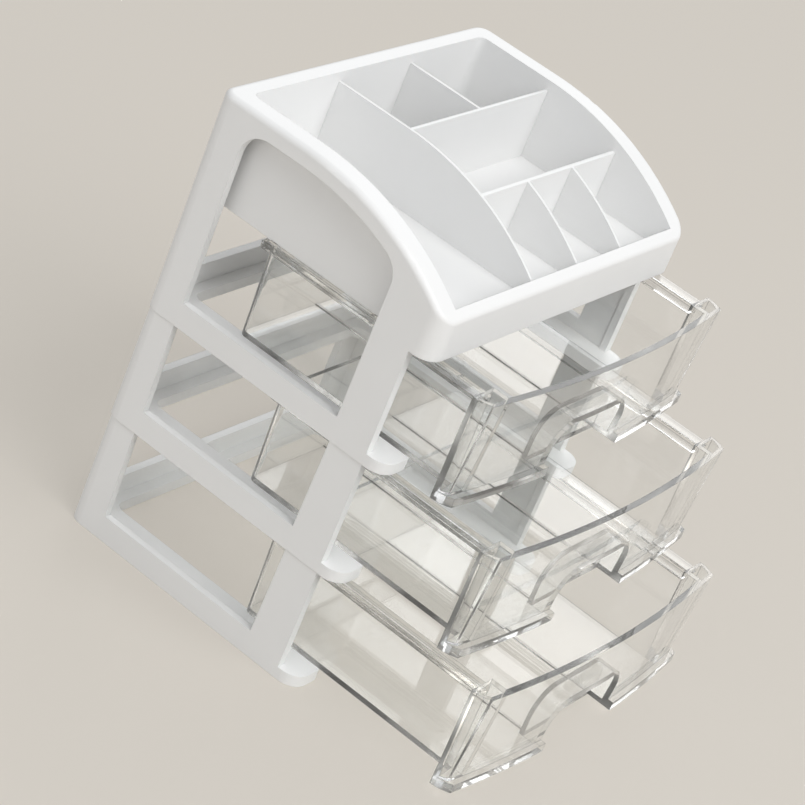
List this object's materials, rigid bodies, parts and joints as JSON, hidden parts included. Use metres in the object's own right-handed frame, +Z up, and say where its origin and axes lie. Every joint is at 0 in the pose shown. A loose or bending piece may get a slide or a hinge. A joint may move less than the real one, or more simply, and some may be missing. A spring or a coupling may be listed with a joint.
{
  "type": "desktop storage box",
  "caption": "White stacked desk organizer with an arched open tray divided into bins on top and clear bowed-front drawers that slide out of open-sided tiers below.",
  "frame": {"origin": "on the underside of the bottom tier, midway between its sides and midway between its back face and the front of its tabs", "axes": "+Z up, -Y towards the front where the drawers open, +X to the right as seen from the front"},
  "size_m": [0.22, 0.2567, 0.252],
  "materials": {
    "white_plastic": "satin moulded white plastic",
    "clear_plastic": "clear glossy moulded plastic"
  },
  "bodies": {
    "frame": {"top_frame": "white_plastic", "middle_frame": "white_plastic", "bottom_frame": "white_plastic"},
    "top_drawer": {"top_drawer": "clear_plastic"},
    "middle_drawer": {"middle_drawer": "clear_plastic"},
    "bottom_drawer": {"bottom_drawer": "clear_plastic"}
  },
  "joints": [
    {"name": "bottom_drawer_slide", "type": "slide", "parent": "frame", "child": "bottom_drawer", "axis": [0, -1, 0], "range_m": [-0.096, 0.014]},
    {"name": "middle_drawer_slide", "type": "slide", "parent": "frame", "child": "middle_drawer", "axis": [0, -1, 0], "range_m": [-0.071, 0.039]},
    {"name": "top_drawer_slide", "type": "slide", "parent": "frame", "child": "top_drawer", "axis": [0, -1, 0], "range_m": [-0.037, 0.073]}
  ]
}
